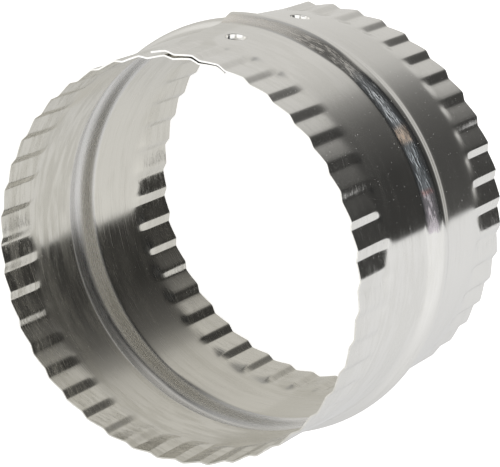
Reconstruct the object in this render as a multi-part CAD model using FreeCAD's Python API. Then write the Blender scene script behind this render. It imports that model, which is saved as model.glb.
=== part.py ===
import FreeCAD, Part
import math
import os

# Crimped connector for 4 inch round duct: one strip of aluminium sheet, crimped along both
# long edges, beaded along its middle, rolled into a ring and press-joined where it laps.
# The duct's axis is Z. The origin is on that axis, on the plane of the lower rim.
# The lap is centred on +X. All lengths are in millimetres and all angles in degrees.

sheet = 0.4

length = 76.2
body_radius = 50.5
end_taper = 1.0

# The shares are of one crimp's pitch. The phase is from the strip's first edge to a ridge,
# and the offset is how far the lower rim's crimps lie past the upper rim's.
crimp_length = 13.5
crimps_around = 44
crimp_depth = 0.95
crimp_steep_share = 0.36
crimp_ridge_share = 0.10
crimp_phase = 0.33
crimp_offset = 0.5
crimp_toe = 2.2

bead_width = 12.0
bead_height = 2.0
bead_crest_radius = 3.5

lap_length = 21.0
lap_clearance = 0.15
run_out_crimps = 5

joint_radius = 2.5
joint_depth = 1.5
joint_wall = 0.3
joint_corner = 0.5
joint_spacing = 32.0

# The pressing tools reach this far past the sheet at their ends, and at their flanks.
reach = 1.0
flank_reach = 0.08

# Each crimp is pressed in from the collar's own radius, which the ridges keep.
collar_radius = body_radius - end_taper
pitch_angle = 360.0 / crimps_around
lap_angle = math.degrees(lap_length / body_radius)
inner_edge_angle = -lap_angle / 2

# The last stretch of the strip is rolled about its own centre, so that it leaves the ring
# tangentially, at a ridge, and clears the strip's first edge by the sheet and the clearance.
run_out_angle = (run_out_crimps - crimp_phase) * pitch_angle
run_out_start = inner_edge_angle + 360.0 - run_out_angle
centre_shift = (sheet + lap_clearance) / (1 - math.cos(math.radians(run_out_angle)))

UP = FreeCAD.Vector(0, 0, 1)


def direction(angle):
    return FreeCAD.Vector(math.cos(math.radians(angle)), math.sin(math.radians(angle)), 0)


class Stretch:
    """A stretch of the rolled strip: a centre, the growth of its radius and two end angles."""

    def __init__(self, start, sweep, first_ridge, shift):
        growth = collar_radius / (collar_radius + shift)
        self.shift = shift
        self.start = start
        self.sweep = sweep * growth
        self.pitch = pitch_angle * growth
        self.first_ridge = first_ridge
        self.centre = direction(start) * -shift

    def point(self, angle, radius, z):
        return self.centre + direction(angle) * (radius + self.shift) + UP * z

    def ridges(self, offset):
        """The ridges that start a crimp, from the one before the stretch to its last."""
        known = self.first_ridge + offset * self.pitch
        first = known - self.pitch * math.ceil((known - self.start) / self.pitch - 1e-6)
        count = math.ceil((self.start + self.sweep - first) / self.pitch - 1e-6)
        return [first + self.pitch * i for i in range(count)]


def bead_flank_angle():
    """The slope of the straight flanks, which are tangent to the crest's arc."""
    centre_drop = bead_crest_radius - bead_height
    centre_away = math.hypot(bead_width / 2, centre_drop)
    return math.atan2(bead_width / 2, centre_drop) - math.acos(bead_crest_radius / centre_away)


def wall_edges(inset, overrun):
    """One face of the sheet, from below the lower rim over the bead to above the upper rim."""
    middle = length / 2
    flank = bead_flank_angle()
    crest_drop = bead_crest_radius * (1 - math.cos(flank))
    crest_half = bead_crest_radius * math.sin(flank)
    steps = [
        (collar_radius, middle + overrun),
        (collar_radius, middle - crimp_length),
        (body_radius, bead_width / 2),
        (body_radius + bead_height - crest_drop, crest_half),
    ]
    lower = [FreeCAD.Vector(r - inset, 0, middle - along) for r, along in steps]
    upper = [FreeCAD.Vector(r - inset, 0, middle + along) for r, along in reversed(steps)]
    top = FreeCAD.Vector(body_radius + bead_height - inset, 0, middle)
    crest = Part.Arc(lower[-1], top, upper[0]).toShape()
    straights = [Part.makeLine(a, b) for side in (lower, upper) for a, b in zip(side, side[1:])]
    return straights + [crest]


def plain_block(stretch, inset, overrun):
    """All that lies inside one face of the sheet, down to a core that is cut away later."""
    core = collar_radius - crimp_depth - sheet - 2 * reach - overrun
    low = -overrun
    high = length + overrun
    outer = collar_radius - inset
    corners = [(outer, low), (core, low), (core, high), (outer, high)]
    points = [FreeCAD.Vector(r, 0, z) for r, z in corners]
    closing = [Part.makeLine(a, b) for a, b in zip(points, points[1:])]
    section = Part.Face(Part.Wire(Part.__sortEdges__(wall_edges(inset, overrun) + closing)))
    section.translate(FreeCAD.Vector(stretch.shift, 0, 0))
    past_end = math.degrees(overrun / body_radius)
    section.rotate(FreeCAD.Vector(0, 0, 0), UP, stretch.start - past_end)
    section.translate(stretch.centre)
    return section.revolve(stretch.centre, UP, stretch.sweep + 2 * past_end)


def crimp_section(stretch, ridge, inset, lift, z):
    """A kite over one crimp: its two lower sides are the crimp's gentle and steep flanks."""
    half_ridge = crimp_ridge_share / 2 * stretch.pitch
    valley_angle = ridge + (1 - crimp_steep_share) * stretch.pitch
    surface = collar_radius - inset
    valley = stretch.point(valley_angle, surface - crimp_depth, z)
    gentle_top = stretch.point(ridge + half_ridge, surface, z)
    steep_top = stretch.point(ridge + stretch.pitch - half_ridge, surface, z)
    apex = stretch.point(valley_angle, surface + reach, z)
    past = 1 + flank_reach / crimp_depth
    gentle_side = valley + (gentle_top - valley) * past
    steep_side = valley + (steep_top - valley) * past
    wire = Part.makePolygon([valley, gentle_side, apex, steep_side, valley])
    wire.translate(direction(valley_angle) * lift)
    return wire


def crimp_tool(stretch, ridge, inset, rim, root):
    """The press that forms one crimp: full depth from the rim, then a toe that runs out."""
    inward = math.copysign(1, root - rim)
    stations = [
        (rim - inward * reach, 0),
        (root - inward * crimp_toe, 0),
        (root, crimp_depth),
        (root + inward * crimp_toe / 2, crimp_depth * 1.5),
    ]
    sections = [crimp_section(stretch, ridge, inset, lift, z) for z, lift in stations]
    return Part.makeLoft(sections, True, True)


def pressed_block(stretch, inset, overrun):
    lower = [crimp_tool(stretch, r, inset, 0.0, crimp_length) for r in stretch.ridges(crimp_offset)]
    upper_root = length - crimp_length
    upper = [crimp_tool(stretch, r, inset, length, upper_root) for r in stretch.ridges(0.0)]
    return plain_block(stretch, inset, overrun).cut(lower + upper)


def rolled_sheet(stretch):
    """The stretch's sheet is what lies between its outer and its inner face."""
    return pressed_block(stretch, 0.0, 0.0).cut(pressed_block(stretch, sheet, reach))


def wall_radius(z):
    """The outer radius of the plain wall between the crimps and the bead."""
    from_middle = abs(z - length / 2)
    taper_reach = length / 2 - crimp_length - bead_width / 2
    return body_radius - end_taper * (from_middle - bead_width / 2) / taper_reach


def lap_radius(z):
    """The outer face of the lap at its middle, on +X."""
    swing = math.radians(run_out_angle + lap_angle / 2)
    rolled = wall_radius(z) + centre_shift
    across = centre_shift * math.sin(swing)
    return math.sqrt(rolled ** 2 - across ** 2) - centre_shift * math.cos(swing)


def round_plug(radius, base, top, z):
    """A round plug along X with a broken edge at its inner end."""
    seat = FreeCAD.Vector(base, 0, z)
    plug = Part.makeCylinder(radius, top - base, seat, FreeCAD.Vector(1, 0, 0))
    edge = [e for e in plug.Edges if abs(e.CenterOfMass.x - base) < (top - base) / 10]
    return plug.makeChamfer(joint_corner, edge)


def press_joint(z):
    """A round cup pressed through both layers, and the button that it raises inside."""
    face = lap_radius(z)
    floor = face - joint_depth
    button = round_plug(joint_radius + joint_wall, floor - sheet, face - sheet / 2, z)
    cup = round_plug(joint_radius, floor, face + reach, z)
    return button, cup


def connector_sleeve():
    ring_sweep = run_out_start - inner_edge_angle
    first_ridge = inner_edge_angle + crimp_phase * pitch_angle
    ring = Stretch(inner_edge_angle, ring_sweep, first_ridge, 0.0)
    run_out = Stretch(run_out_start, run_out_angle + lap_angle, run_out_start, centre_shift)
    joints = [press_joint(length / 2 + side * joint_spacing / 2) for side in (-1, 1)]
    buttons = [button for button, cup in joints]
    cups = [cup for button, cup in joints]
    strip = rolled_sheet(ring).fuse(rolled_sheet(run_out))
    return strip.fuse(buttons).cut(cups).removeSplitter()


os.makedirs("parts", exist_ok=True)
sleeve = connector_sleeve()
sleeve = sleeve.Solids[0] if len(sleeve.Solids) == 1 else sleeve
print("solids", len(sleeve.Solids), "valid", sleeve.isValid(), "volume", round(sleeve.Volume, 1))
sleeve.exportStep("parts/connector_sleeve.step")
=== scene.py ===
import math

import bpy
from mathutils import Matrix, Vector


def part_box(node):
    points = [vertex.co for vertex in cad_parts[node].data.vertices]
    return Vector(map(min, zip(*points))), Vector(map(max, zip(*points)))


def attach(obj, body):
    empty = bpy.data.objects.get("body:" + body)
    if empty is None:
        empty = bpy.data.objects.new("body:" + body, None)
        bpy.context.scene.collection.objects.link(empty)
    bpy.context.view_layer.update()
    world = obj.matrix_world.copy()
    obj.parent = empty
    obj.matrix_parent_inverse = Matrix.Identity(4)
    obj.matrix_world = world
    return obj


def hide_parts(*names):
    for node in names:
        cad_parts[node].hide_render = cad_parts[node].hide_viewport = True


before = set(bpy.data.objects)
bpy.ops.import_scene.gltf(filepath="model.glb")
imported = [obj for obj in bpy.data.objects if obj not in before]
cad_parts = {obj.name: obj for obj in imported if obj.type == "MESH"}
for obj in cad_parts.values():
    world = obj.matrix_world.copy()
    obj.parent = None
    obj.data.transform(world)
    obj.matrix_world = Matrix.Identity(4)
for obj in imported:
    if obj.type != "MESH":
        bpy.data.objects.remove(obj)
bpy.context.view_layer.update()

# The blank. The real sleeve starts as a flat strip of 0.4 mm aluminium, as wide as the
# sleeve is long and a little longer than the ring is round, so that its ends lap. Here it
# lies along X and stands up along Z, and the side that faces -Y ends up outside.
low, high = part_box("connector_sleeve")
sheet = 0.0004
length = high.z - low.z
middle = low.z + length / 2
bead_height = 0.0020
body_radius = high.y - bead_height
end_taper = 0.0010
collar_radius = body_radius - end_taper
crimps_around = 44
lap_angle = 0.0210 / body_radius
strip_length = collar_radius * (2 * math.pi + lap_angle)
pitch = 2 * math.pi * collar_radius / crimps_around
# Two places that are nearer to each other than this are the same fold.
near = 0.00002

bpy.ops.object.select_all(action="DESELECT")
bpy.ops.mesh.primitive_plane_add(size=1, rotation=(math.radians(90), 0, 0))
strip = bpy.context.object
strip.name = "rolled_strip"
strip.scale = (pitch, length, 1)
strip.location = (pitch / 2, 0, middle)
bpy.ops.object.transform_apply(location=True, rotation=True, scale=True)


def cut_across(place, normal, **cleared):
    """Bisects the whole strip by a plane, which leaves a row of edges there."""
    bpy.ops.object.mode_set(mode="EDIT")
    bpy.ops.mesh.select_all(action="SELECT")
    bpy.ops.mesh.bisect(plane_co=place, plane_no=normal, **cleared)
    bpy.ops.object.mode_set(mode="OBJECT")


def choose(chosen):
    """Selects the strip's vertices with the given numbers and goes into edit mode."""
    bpy.ops.object.mode_set(mode="EDIT")
    bpy.ops.mesh.select_mode(type="VERT")
    bpy.ops.mesh.select_all(action="DESELECT")
    bpy.ops.object.mode_set(mode="OBJECT")
    for number in chosen:
        strip.data.vertices[number].select = True
    bpy.ops.object.mode_set(mode="EDIT")


def move_vertices(chosen, offset):
    choose(chosen)
    bpy.ops.transform.translate(value=offset)
    bpy.ops.object.mode_set(mode="OBJECT")


# The crimps. Two toothed rollers press both long edges of the strip into leaning flutes,
# each a long gentle flank and a short steep one with a rounded toe. The rollers are half
# a pitch out of step. One pitch of the strip is cut into columns and rows and pressed.
# A row is its distance from the rim, and the share of the full depth that it is pressed.
crimp_phase = 0.33
crimp_length = 0.0135
crimp_rows = {0.0092: 1.0, 0.0110: 0.94, 0.0126: 0.62, 0.0141: 0.20, 0.0156: 0.0}
upper_crimp = {"depth": 0.00071, "valley": 0.68, "fold": 0.08}
lower_crimp = {"depth": 0.00094, "valley": 0.70, "fold": 0.07}
roller_offset = 0.5

# The bead. A roller raises a ridge with flat flanks and a rounded crest round the strip's
# middle. It stiffens the ring, and stops the duct that is pushed over the crimps. A row is
# its distance from the crest, and the share of the bead's height that it is raised.
bead_foot = 0.0060
bead_rows = {0.0068: 0.0, 0.0061: 0.015, 0.0054: 0.09, 0.0044: 0.29, 0.0029: 0.63,
             0.0018: 0.83, 0.0009: 0.955, 0.0: 1.0}
plain_rows = (0.0170, 0.0272)


def columns(crimp):
    """Where the folds of one crimp lie along the strip, in shares of its pitch."""
    valley, fold = crimp["valley"], crimp["fold"]
    return [0.0, fold, valley - fold, valley, valley + fold, 1 - fold, 1.0]


def crimp_share(share, crimp):
    """How deep one of those folds is pressed, as a share of the crimp's depth."""
    gentle, steep = share / crimp["valley"], (1 - share) / (1 - crimp["valley"])
    return min(gentle, steep)


def wall_rise(z):
    """How far the wall stands out from the collar's radius between the crimps."""
    from_middle = abs(z - middle)
    taper_end = length / 2 - crimp_length
    share = (taper_end - from_middle) / (taper_end - bead_foot)
    return end_taper * min(1, max(0, share))


for share in columns(upper_crimp)[1:-1]:
    cut_across((share * pitch, 0, middle), (1, 0, 0))
from_rim = list(crimp_rows) + list(plain_rows) + [length / 2 - place for place in bead_rows]
for distance in from_rim:
    cut_across((0, 0, low.z + distance), (0, 0, 1))
    cut_across((0, 0, high.z - distance), (0, 0, 1))

grid = [vertex.co.copy() for vertex in strip.data.vertices]
for row in sorted({round(corner.z, 6) for corner in grid}):
    rim_distance = min(row - low.z, high.z - row)
    toe = next((s for d, s in crimp_rows.items() if abs(d - rim_distance) < near), 0.0)
    if rim_distance < min(crimp_rows) - near:
        toe = 1.0
    bead = next((s for d, s in bead_rows.items() if abs(d - abs(row - middle)) < near), 0.0)
    crimp = lower_crimp if row < middle else upper_crimp
    along_wall = (row - low.z - max(crimp_rows)) / (length - 2 * max(crimp_rows))
    along_wall = min(1, max(0, along_wall))
    for upper, lower in zip(columns(upper_crimp), columns(lower_crimp)):
        lower_place = lower + roller_offset
        slide = (lower_place + (upper - lower_place) * along_wall - upper) * pitch
        share = lower if row < middle else upper
        press = crimp["depth"] * toe * crimp_share(share, crimp)
        here = [number for number, corner in enumerate(grid)
                if abs(corner.z - row) < near and abs(corner.x - upper * pitch) < near]
        move_vertices(here, (slide, press - wall_rise(row) - bead * bead_height, 0))

array = strip.modifiers.new("Crimps", "ARRAY")
array.use_relative_offset = False
array.use_constant_offset = True
array.constant_offset_displace = (pitch, 0, 0)
array.count = math.ceil(strip_length / pitch) + 2
array.use_merge_vertices = True
array.merge_threshold = near
bpy.ops.object.modifier_apply(modifier=array.name)
bpy.ops.object.mode_set(mode="EDIT")
bpy.ops.mesh.select_all(action="SELECT")
bpy.ops.transform.translate(value=((crimp_phase - 2) * pitch, 0, 0))
bpy.ops.object.mode_set(mode="OBJECT")
cut_across((0, 0, 0), (1, 0, 0), clear_inner=True)
cut_across((strip_length, 0, 0), (1, 0, 0), clear_outer=True)

smooth = strip.modifiers.new("Smooth", "SUBSURF")
smooth.levels = 1
smooth.render_levels = 1
smooth.boundary_smooth = "PRESERVE_CORNERS"
bpy.ops.object.modifier_apply(modifier=smooth.name)

# The joints. Where the ends lap, a punch presses both layers into round cups that lock in
# each other, 16 mm each side of the bead. The outer layer's cup is deeper and goes into
# the inner layer's, which is wider.
run_out_crimps = 5
run_out_angle = (run_out_crimps - crimp_phase) * 2 * math.pi / crimps_around
start_angle = -lap_angle / 2
run_out_start = start_angle + 2 * math.pi - run_out_angle
lap_clearance = 0.00015
centre_shift = (sheet + lap_clearance) / (1 - math.cos(run_out_angle))
growth = collar_radius / (collar_radius + centre_shift)
run_out_travel = (run_out_start - start_angle) * collar_radius
lean = math.asin(centre_shift * math.sin(run_out_start) / (collar_radius + centre_shift))
outer_joint = run_out_travel + (2 * math.pi + lean - run_out_start) / growth * collar_radius
inner_joint = -start_angle * collar_radius
joint_spacing = 0.0320
outer_cup = {"radius": 0.0025, "depth": 0.00130}
inner_cup = {"radius": 0.00295, "depth": 0.00117}
cup_sides = 40
cup_flange = 0.0004
window_margin = 0.0016


def press_cup(x, z, radius, depth):
    """Opens a window in the flat strip and closes it round a pressed cup with a flat floor."""
    half = radius + window_margin
    wide = radius + cup_flange
    bpy.ops.object.mode_set(mode="EDIT")
    bpy.ops.mesh.select_mode(type="FACE")
    bpy.ops.mesh.select_all(action="DESELECT")
    bpy.ops.object.mode_set(mode="OBJECT")
    for face in strip.data.polygons:
        face.select = abs(face.center.x - x) < half and abs(face.center.z - z) < half
    bpy.ops.object.mode_set(mode="EDIT")
    bpy.ops.mesh.delete(type="FACE")
    bpy.ops.mesh.select_mode(type="VERT")
    bpy.ops.mesh.primitive_circle_add(
        vertices=cup_sides, radius=wide, location=(x, 0, z),
        rotation=(math.radians(90), 0, 0),
    )
    bpy.ops.mesh.select_non_manifold(extend=False)
    bpy.ops.object.mode_set(mode="OBJECT")
    ring, border = [], []
    for vertex in strip.data.vertices:
        away = math.hypot(vertex.co.x - x, vertex.co.z - z)
        if away < wide + near:
            vertex.co.y = -wall_rise(vertex.co.z)
            ring.append(vertex.index)
        elif vertex.select and away < 2 * half:
            border.append(vertex.index)
    choose(ring + border)
    bpy.ops.mesh.fill()
    choose(ring)
    bpy.ops.mesh.select_mode(type="EDGE")
    surface = -wall_rise(z)
    # From the rounded lip to the flat floor, each step is a radius and how far it is sunk.
    steps = [(radius + 0.00012, 0.00003), (radius, 0.00012), (radius - 0.00004, 0.00030),
             (radius - 0.00012, depth - 0.00025), (radius - 0.00030, depth - 0.00006),
             (radius - 0.00060, depth), (radius * 0.3, depth)]
    sunk = 0.0
    for step_radius, step_depth in steps:
        bpy.ops.mesh.extrude_region_move(
            TRANSFORM_OT_translate={"value": (0, step_depth - sunk, 0)}
        )
        shrink = step_radius / wide
        bpy.ops.transform.resize(
            value=(shrink, 1, shrink), center_override=(x, surface + step_depth, z)
        )
        wide, sunk = step_radius, step_depth
    bpy.ops.mesh.edge_face_add()
    bpy.ops.mesh.poke()
    bpy.ops.object.mode_set(mode="OBJECT")


for side in (-1, 1):
    joint_height = middle + side * joint_spacing / 2
    press_cup(outer_joint, joint_height, **outer_cup)
    press_cup(inner_joint, joint_height, **inner_cup)
bpy.ops.object.mode_set(mode="EDIT")
bpy.ops.mesh.select_all(action="SELECT")
bpy.ops.mesh.normals_make_consistent(inside=False)
if strip.data.polygons[0].normal.y > 0:
    bpy.ops.mesh.flip_normals()
bpy.ops.object.mode_set(mode="OBJECT")

# The flat place of each point is kept as a UV map, in metres, so that the grain and the
# scratches run along the strip as the rolling mill left them.
flat = strip.data.uv_layers.active
for loop in strip.data.loops:
    corner = strip.data.vertices[loop.vertex_index].co
    flat.data[loop.index].uv = (corner.x, corner.z)

# Rolling. The strip goes round a circle, and its last stretch round a slightly larger one
# about another centre, so that it rises over the strip's first edge and laps it.
curve_steps = 1440
bend = bpy.data.curves.new("roll_line", "CURVE")
bend.dimensions = "3D"
bend.twist_mode = "Z_UP"
line = bend.splines.new("POLY")
line.points.add(curve_steps)
for step, point in enumerate(line.points):
    travelled = step / curve_steps * strip_length
    angle, shift = start_angle + travelled / collar_radius, 0.0
    if travelled > run_out_travel:
        angle = run_out_start + (travelled - run_out_travel) / collar_radius * growth
        shift = centre_shift
    x = (collar_radius + shift) * math.cos(angle) - shift * math.cos(run_out_start)
    y = (collar_radius + shift) * math.sin(angle) - shift * math.sin(run_out_start)
    point.co = (x, y, 0, 1)
roll_line = bpy.data.objects.new("roll_line", bend)
bpy.context.collection.objects.link(roll_line)
roll = strip.modifiers.new("Roll", "CURVE")
roll.object = roll_line
roll.deform_axis = "POS_X"
bpy.ops.object.modifier_apply(modifier=roll.name)
bpy.data.objects.remove(roll_line)

for name in ("bright_side", "dull_side"):
    strip.data.materials.append(bpy.data.materials.new(name))
thickness = strip.modifiers.new("Sheet", "SOLIDIFY")
thickness.thickness = sheet
thickness.offset = -1
thickness.material_offset = 1
thickness.material_offset_rim = 0
bpy.ops.object.modifier_apply(modifier=thickness.name)
bpy.ops.object.shade_smooth_by_angle(angle=math.radians(40))

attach(strip, "root")
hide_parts("connector_sleeve")

# The finish. Bright mill-rolled aluminium: fine grain along the strip, faint smudges from
# handling and scattered scratches. The marks are one group, which both sides use.


def stretched(tree, coordinates, scale, turn=0.0):
    """The flat place of a point, scaled and turned for one of the patterns."""
    mapping = tree.nodes.new("ShaderNodeMapping")
    mapping.inputs["Scale"].default_value = scale
    mapping.inputs["Rotation"].default_value = (0, 0, turn)
    tree.links.new(coordinates.outputs["UV"], mapping.inputs["Vector"])
    return mapping.outputs["Vector"]


def noise(tree, vector, detail):
    texture = tree.nodes.new("ShaderNodeTexNoise")
    texture.inputs["Scale"].default_value = 1.0
    texture.inputs["Detail"].default_value = detail
    tree.links.new(vector, texture.inputs["Vector"])
    return texture.outputs["Fac"]


def spread(tree, value, start, end, to_start=0.0, to_end=1.0):
    """A value that turns smoothly from one level to another between start and end."""
    node = tree.nodes.new("ShaderNodeMapRange")
    node.interpolation_type = "SMOOTHSTEP"
    for name, number in (("From Min", start), ("From Max", end),
                         ("To Min", to_start), ("To Max", to_end)):
        node.inputs[name].default_value = number
    tree.links.new(value, node.inputs["Value"])
    return node.outputs["Result"]


def combine(tree, kind, first, second):
    node = tree.nodes.new("ShaderNodeMath")
    node.operation = kind
    for socket, value in zip(node.inputs, (first, second)):
        if isinstance(value, (int, float)):
            socket.default_value = value
        else:
            tree.links.new(value, socket)
    return node.outputs["Value"]


# The patterns' scales are counts to the metre, along the strip and across it.
mill_marks = bpy.data.node_groups.new("mill_marks", "ShaderNodeTree")
for name in ("Grain", "Smudges", "Scratches", "Specks", "Crimped", "Beaded", "Rubbed_and_reflection", "Along"):
    mill_marks.interface.new_socket(name, in_out="OUTPUT", socket_type="NodeSocketFloat")
marks_out = mill_marks.nodes.new("NodeGroupOutput")
coordinates = mill_marks.nodes.new("ShaderNodeTexCoord")
fine = noise(mill_marks, stretched(mill_marks, coordinates, (45, 3400, 1)), 2.0)
broad = noise(mill_marks, stretched(mill_marks, coordinates, (16, 900, 1)), 3.0)
grain_sum = combine(mill_marks, "ADD", combine(mill_marks, "MULTIPLY", fine, 0.5),
                    combine(mill_marks, "MULTIPLY", broad, 0.5))
mill_marks.links.new(grain_sum, marks_out.inputs["Grain"])
smudges = noise(mill_marks, stretched(mill_marks, coordinates, (32, 130, 1)), 5.0)
handling = noise(mill_marks, stretched(mill_marks, coordinates, (130, 560, 1)), 4.0)
smudges = combine(mill_marks, "ADD", combine(mill_marks, "MULTIPLY", smudges, 0.6),
                  combine(mill_marks, "MULTIPLY", handling, 0.4))
scratches = []
for turned, thin in ((0.25, 0.70), (-0.5, 0.71), (1.2, 0.72), (1.9, 0.73)):
    lines = noise(mill_marks, stretched(mill_marks, coordinates, (60, 3600, 1), turned), 1.0)
    scratches.append(spread(mill_marks, lines, thin, thin + 0.04))
deepest = scratches[0]
for lines in scratches[1:]:
    deepest = combine(mill_marks, "MAXIMUM", deepest, lines)
mill_marks.links.new(deepest, marks_out.inputs["Scratches"])
specks = noise(mill_marks, stretched(mill_marks, coordinates, (1900, 1900, 1)), 1.0)
mill_marks.links.new(spread(mill_marks, specks, 0.74, 0.79), marks_out.inputs["Specks"])
flat_place = mill_marks.nodes.new("ShaderNodeSeparateXYZ")
mill_marks.links.new(coordinates.outputs["UV"], flat_place.inputs["Vector"])
above_middle = combine(mill_marks, "SUBTRACT", flat_place.outputs["Y"], middle)
from_middle = combine(mill_marks, "ABSOLUTE", above_middle, 0.0)
smudges = combine(mill_marks, "MULTIPLY", spread(mill_marks, smudges, 0.42, 0.64),
                  spread(mill_marks, above_middle, -0.006, 0.012, 0.4, 1.2))
mill_marks.links.new(smudges, marks_out.inputs["Smudges"])
die_lines = noise(mill_marks, stretched(mill_marks, coordinates, (560, 2500, 1), 0.1), 3.0)
gouges = noise(mill_marks, stretched(mill_marks, coordinates, (260, 800, 1)), 1.0)
die_lines = combine(mill_marks, "MULTIPLY", spread(mill_marks, die_lines, 0.36, 0.68),
                    spread(mill_marks, gouges, 0.40, 0.62, 0.25, 1.2))
crimps_end = length / 2 - crimp_length
crimped = spread(mill_marks, from_middle, crimps_end - 0.0015, crimps_end + 0.0020)
crimped = combine(mill_marks, "MULTIPLY", crimped, die_lines)
mill_marks.links.new(crimped, marks_out.inputs["Crimped"])
beaded = spread(mill_marks, from_middle, bead_foot + 0.0002, bead_foot - 0.0006)
mill_marks.links.new(beaded, marks_out.inputs["Beaded"])
# The flank mask: on this stretch of the bead's flank it adds roughness and scoring, and it marks
# where the bright side's painted reflection colours go.
on_flank = combine(mill_marks, "MULTIPLY", spread(mill_marks, above_middle, 0.0010, 0.0030),
                   spread(mill_marks, above_middle, bead_foot, bead_foot - 0.0012))
die_lines = combine(mill_marks, "ADD", combine(mill_marks, "MULTIPLY", die_lines, 0.8), 0.2)
on_flank = combine(mill_marks, "MULTIPLY", on_flank, die_lines)
rub_and_reflection_start, rub_and_reflection_full = 0.2528, 0.2545
rubbed_and_reflection_part = spread(mill_marks, flat_place.outputs["X"], rub_and_reflection_start, rub_and_reflection_full)
on_flank = combine(mill_marks, "MULTIPLY", on_flank, rubbed_and_reflection_part)
mill_marks.links.new(on_flank, marks_out.inputs["Rubbed_and_reflection"])
mill_marks.links.new(flat_place.outputs["X"], marks_out.inputs["Along"])


def mill_finish(name, color, worn_color, roughness, grain_height, haze, wear):
    """One side's finish. The haze is how much its smudges scatter the light."""
    metal = strip.data.materials[name]
    metal.use_nodes = True
    tree = metal.node_tree
    shader = tree.nodes["Principled BSDF"]
    marks = tree.nodes.new("ShaderNodeGroup")
    marks.node_tree = mill_marks
    grain, smudge = marks.outputs["Grain"], marks.outputs["Smudges"]
    scratch, speck = marks.outputs["Scratches"], marks.outputs["Specks"]
    crimped = marks.outputs["Crimped"]
    tint = tree.nodes.new("ShaderNodeMix")
    tint.data_type = "RGBA"
    tint.inputs["A"].default_value = (*color, 1)
    tint.inputs["B"].default_value = (*worn_color, 1)
    worn = combine(tree, "ADD", combine(tree, "MULTIPLY", smudge, 0.6), grain)
    tree.links.new(spread(tree, worn, 0.42, 1.0), tint.inputs["Factor"])
    tree.links.new(tint.outputs["Result"], shader.inputs["Base Color"])
    film = combine(tree, "ADD", combine(tree, "MULTIPLY", smudge, haze),
                   combine(tree, "MULTIPLY", speck, 0.35))
    tree.links.new(combine(tree, "SUBTRACT", 1.0, film), shader.inputs["Metallic"])
    dull = spread(tree, grain, 0.3, 0.7, roughness - 0.15 * wear, roughness + 0.25 * wear)
    for mark, amount in ((smudge, 0.3 * wear), (scratch, wear), (speck, 0.45), (crimped, 0.12)):
        dull = combine(tree, "ADD", dull, combine(tree, "MULTIPLY", mark, amount))
    tree.links.new(dull, shader.inputs["Roughness"])
    bump = tree.nodes.new("ShaderNodeBump")
    bump.name = "relief"
    bump.inputs["Distance"].default_value = grain_height
    bump.inputs["Strength"].default_value = 1.0
    height = combine(tree, "SUBTRACT", grain, combine(tree, "MULTIPLY", scratch, 0.35))
    height = combine(tree, "ADD", height, combine(tree, "MULTIPLY", crimped, 9.0))
    tree.links.new(height, bump.inputs["Height"])
    tree.links.new(bump.outputs["Normal"], shader.inputs["Normal"])
    return tree, shader, marks.outputs, tint.outputs["Result"], dull, height


# The dull side, which ends up inside. The bead's roller has rubbed the inside of the bead,
# so it is greyer and more satin there and shows less grain.
tree, shader, marks, tint, dull, height = mill_finish(
    "dull_side", color=(0.715, 0.695, 0.635), worn_color=(0.64, 0.62, 0.555),
    roughness=0.125, grain_height=0.0000016, haze=0.16, wear=0.20,
)
beaded, relief = marks["Beaded"], tree.nodes["relief"]
greyed = tree.nodes.new("ShaderNodeMix")
greyed.data_type = "RGBA"
greyed.inputs["B"].default_value = (0.73, 0.722, 0.705, 1)
tree.links.new(beaded, greyed.inputs["Factor"])
tree.links.new(tint, greyed.inputs["A"])
tree.links.new(greyed.outputs["Result"], shader.inputs["Base Color"])
grain_left = spread(tree, beaded, 0.0, 1.0, 1.0, 0.25)
tree.links.new(combine(tree, "MULTIPLY", height, grain_left), relief.inputs["Height"])
satin = combine(tree, "ADD", dull, combine(tree, "MULTIPLY", beaded, 0.12))
tree.links.new(satin, shader.inputs["Roughness"])

# The bright side, which ends up outside. Along one stretch of the bead's flank, faint bluish,
# pink and brown colours are painted into the base colour:
# a painted reflection of coloured surroundings, not a colour of the metal. The ramp's stops are
# metres along the strip, and their last number is how dull it is.
tree, shader, marks, tint, dull, height = mill_finish(
    "bright_side", color=(0.86, 0.85, 0.825), worn_color=(0.82, 0.81, 0.78),
    roughness=0.09, grain_height=0.0000007, haze=0.02, wear=0.08,
)
along, rubbed_and_reflection, relief = marks["Along"], marks["Rubbed_and_reflection"], tree.nodes["relief"]
painted_reflection_stops = {0.2500: (1.0, 1.0, 1.0, 0.0), 0.2535: (0.90, 0.85, 0.92, 0.45),
               0.2620: (0.92, 0.86, 0.93, 0.45), 0.2630: (1.0, 0.66, 0.66, 0.4),
               0.2640: (0.88, 0.94, 1.0, 0.0), 0.2742: (0.90, 0.95, 1.0, 0.0),
               0.2755: (1.0, 0.83, 0.70, 0.9), 0.2785: (1.0, 0.85, 0.73, 0.6),
               0.2800: (0.92, 0.96, 1.0, 0.0), 0.2920: (0.94, 0.97, 1.0, 0.0),
               0.2960: (0.95, 0.93, 0.90, 0.6), 0.3120: (0.95, 0.92, 0.88, 0.5)}


def ramp_through(tree, value, stops):
    """A colour ramp that runs through the given stops, from value to colour, in turn."""
    lowest, highest = min(stops), max(stops)
    ramp = tree.nodes.new("ShaderNodeValToRGB")
    for index, (stop, color) in enumerate(stops.items()):
        if 0 < index < len(stops) - 1:
            element = ramp.color_ramp.elements.new((stop - lowest) / (highest - lowest))
        else:
            element = ramp.color_ramp.elements[0 if index == 0 else -1]
        element.color = color
    span = tree.nodes.new("ShaderNodeMapRange")
    span.inputs["From Min"].default_value = lowest
    span.inputs["From Max"].default_value = highest
    tree.links.new(value, span.inputs["Value"])
    tree.links.new(span.outputs["Result"], ramp.inputs["Fac"])
    return ramp


# Painted reflection: the ramp's colours multiply the flank's base colour, standing in for
# reflected bluish and skin-coloured surroundings; its alpha only adds roughness.
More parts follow.
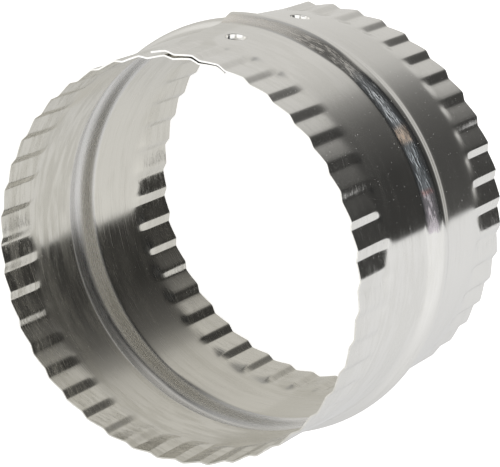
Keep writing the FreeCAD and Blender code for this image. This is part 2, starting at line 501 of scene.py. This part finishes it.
painted_reflection_ramp = ramp_through(tree, along, painted_reflection_stops)
painted_reflection_mix = tree.nodes.new("ShaderNodeMix")
painted_reflection_mix.data_type = "RGBA"
painted_reflection_mix.blend_type = "MULTIPLY"
tree.links.new(spread(tree, rubbed_and_reflection, 0.0, 0.3), painted_reflection_mix.inputs["Factor"])
flank_dullness = combine(tree, "MULTIPLY", combine(tree, "MULTIPLY", painted_reflection_ramp.outputs["Alpha"], rubbed_and_reflection), 0.8)
tree.links.new(combine(tree, "ADD", dull, flank_dullness), shader.inputs["Roughness"])
scored = combine(tree, "MULTIPLY", rubbed_and_reflection, combine(tree, "SUBTRACT", 1.0, painted_reflection_ramp.outputs["Alpha"]))
score_end, score_full, score_depth = 0.2935, 0.2900, 40.0
scored_part = spread(tree, along, score_end, score_full, 0.0, score_depth)
scored = combine(tree, "MULTIPLY", scored, scored_part)
tree.links.new(combine(tree, "ADD", height, scored), relief.inputs["Height"])
tree.links.new(tint, painted_reflection_mix.inputs["A"])
tree.links.new(painted_reflection_ramp.outputs["Color"], painted_reflection_mix.inputs["B"])
tree.links.new(painted_reflection_mix.outputs["Result"], shader.inputs["Base Color"])

# The floor is a wide sheet of white paper.
floor_width = 6
bpy.ops.object.select_all(action="DESELECT")
bpy.ops.mesh.primitive_plane_add(size=floor_width, location=(0, 0, low.z))
floor = bpy.context.object
floor.name = "floor"
floor.visible_glossy = False
paper = bpy.data.materials.new("white_paper")
paper.use_nodes = True
paper_shader = paper.node_tree.nodes["Principled BSDF"]
paper_shader.inputs["Base Color"].default_value = (0.9, 0.9, 0.9, 1)
paper_shader.inputs["Roughness"].default_value = 0.9
paper_shader.inputs["Emission Color"].default_value = (1, 1, 1, 1)
paper_path = paper.node_tree.nodes.new("ShaderNodeLightPath")
paper_glow = combine(paper.node_tree, "MULTIPLY", paper_path.outputs["Is Camera Ray"], 0.7)
paper.node_tree.links.new(paper_glow, paper_shader.inputs["Emission Strength"])
floor.data.materials.append(paper)

# The camera stands where both rims and the silhouette in the photograph put it.
camera_right = Vector((0.0723, -0.8677, -0.4918)).normalized()
camera_up = Vector((0.9547, 0.2029, -0.2176))
camera_up = (camera_up - camera_right * camera_up.dot(camera_right)).normalized()
camera_back = camera_right.cross(camera_up)
focal_pixels = 2679.5
picture_width = 500
camera_place = (0.1893, -0.2994, 0.5958)
bpy.ops.object.camera_add(location=camera_place)
camera = bpy.context.object
camera.rotation_euler = Matrix((camera_right, camera_up, camera_back)).transposed().to_euler()
camera.data.sensor_fit = "HORIZONTAL"
camera.data.lens = focal_pixels * camera.data.sensor_width / picture_width
bpy.context.scene.camera = camera

# The light is a plain studio drawn on the sky: a bright table, a pale room on the left, a
# ceiling that is dim on the right, two lamps beside the camera, and on the right an unlit
# part of the room, which is the dark band that bare metal shows.
world = bpy.data.worlds.new("studio")
world.use_nodes = True
bpy.context.scene.world = world
sky = world.node_tree
sky.nodes.clear()
sky_out = sky.nodes.new("ShaderNodeOutputWorld")
background = sky.nodes.new("ShaderNodeBackground")
sky.links.new(background.outputs["Background"], sky_out.inputs["Surface"])
heading = sky.nodes.new("ShaderNodeTexCoord")


def toward(axis):
    """How far a direction of the sky points along an axis, from -1 to 1."""
    node = sky.nodes.new("ShaderNodeVectorMath")
    node.operation = "DOT_PRODUCT"
    node.inputs[1].default_value = axis
    sky.links.new(heading.outputs["Generated"], node.inputs[0])
    return node.outputs["Value"]


def blend(factor, first, second):
    node = sky.nodes.new("ShaderNodeMix")
    node.data_type = "RGBA"
    sky.links.new(factor, node.inputs["Factor"])
    for socket, value in ((node.inputs["A"], first), (node.inputs["B"], second)):
        if isinstance(value, tuple):
            socket.default_value = (*value, 1)
        else:
            sky.links.new(value, socket)
    return node.outputs["Result"]


def graded(value, stops):
    """A grey that runs through the given stops, from value to brightness, in turn."""
    greys = {stop: (level, level, level, 1) for stop, level in stops.items()}
    return ramp_through(sky, value, greys).outputs["Color"]


def tinted(level, color):
    node = sky.nodes.new("ShaderNodeMix")
    node.data_type = "RGBA"
    node.blend_type = "MULTIPLY"
    node.inputs["Factor"].default_value = 1.0
    node.inputs["B"].default_value = (*color, 1)
    sky.links.new(level, node.inputs["A"])
    return node.outputs["Result"]


# The directions are counted in degrees: how high, and how far round from the camera,
# to the right up to 180 and to the left down to -180. A stop is a direction and how
# bright the studio is there.
degrees = math.degrees(1)
high_up = combine(sky, "ARCSINE", toward(camera_up), 0.0)
high_up = combine(sky, "MULTIPLY", high_up, degrees)
turn = combine(sky, "ARCTAN2", toward(camera_right), toward(camera_back))
turn = combine(sky, "MULTIPLY", turn, degrees)
round_from_camera = combine(sky, "ABSOLUTE", turn, 0.0)
lean_in = combine(sky, "ADD", turn, combine(sky, "MULTIPLY", high_up, 1.8))
by_height = graded(lean_in, {150: 0.044, 165: 0.070, 176: 0.094, 183: 0.115, 189: 0.148,
                             195: 0.20, 200: 0.265, 205: 0.345, 210: 0.46, 216: 0.555,
                             225: 0.615, 238: 0.68})
by_turn = graded(turn, {106: 0.022, 114: 0.044, 126: 0.060, 131: 0.090, 136: 0.15, 140: 0.27,
                        145: 0.46, 151: 0.57, 160: 0.62, 174: 0.68})
right_wall = combine(sky, "MAXIMUM", by_height, by_turn)
right_wall = tinted(right_wall, (1.0, 0.985, 0.95))
near_high = graded(turn, {50: 0.95, 59: 0.85, 65: 0.30, 71: 0.10, 80: 0.06, 92: 0.03,
                          100: 0.018})
near_low = graded(turn, {62: 0.32, 74: 0.17, 84: 0.09, 92: 0.045, 100: 0.022})
near_wall = tinted(blend(spread(sky, high_up, 16, 8), near_high, near_low), (0.97, 0.99, 1.02))
right_wall = blend(spread(sky, turn, 96, 104), near_wall, right_wall)
walls = blend(spread(sky, turn, 10, 50), (0.62, 0.61, 0.58), right_wall)
left_side = combine(sky, "MULTIPLY", spread(sky, turn, -165, -150), spread(sky, turn, -10, -40))
walls = blend(left_side, walls, (0.92, 0.91, 0.89))
ceiling = graded(turn, {-178: 0.48, -165: 0.50, -148: 0.74, -10: 0.74, 60: 0.12, 100: 0.09,
                        125: 0.15, 150: 0.33, 168: 0.46})
lowered = combine(sky, "ADD", high_up, spread(sky, round_from_camera, 115, 160, 0.0, 6.0))
room = blend(spread(sky, lowered, 57, 67), walls, ceiling)
table = graded(turn, {80: 0.92, 96: 0.93, 110: 0.86, 122: 0.81, 140: 0.79, 180: 0.65})
table = blend(spread(sky, turn, -60, 30), (0.70, 0.69, 0.66), table)
table_edge = combine(sky, "ADD", spread(sky, turn, 84, 110, -5.0, 0.35),
                     spread(sky, turn, 119, 131, 0.0, 0.9))
above_table = combine(sky, "SUBTRACT", high_up, table_edge)
seen = blend(spread(sky, above_table, -0.8, 0.8), table, room)
lamps_reach = spread(sky, turn, -30, 0, 76, 61)
past_lamps = combine(sky, "SUBTRACT", round_from_camera, lamps_reach)
lamps = combine(sky, "MULTIPLY", spread(sky, round_from_camera, 8, 14),
                spread(sky, past_lamps, 3, -3))
lamps = combine(sky, "MULTIPLY", lamps, spread(sky, high_up, -26, -20))
lamps = combine(sky, "MULTIPLY", lamps, spread(sky, high_up, 16, 10))
seen = blend(lamps, seen, (1.35, 1.35, 1.35))
sky_path = sky.nodes.new("ShaderNodeLightPath")
shown = blend(sky_path.outputs["Is Camera Ray"], seen, (1, 1, 1))
sky.links.new(shown, background.inputs["Color"])

bpy.context.scene.view_settings.view_transform = "Standard"
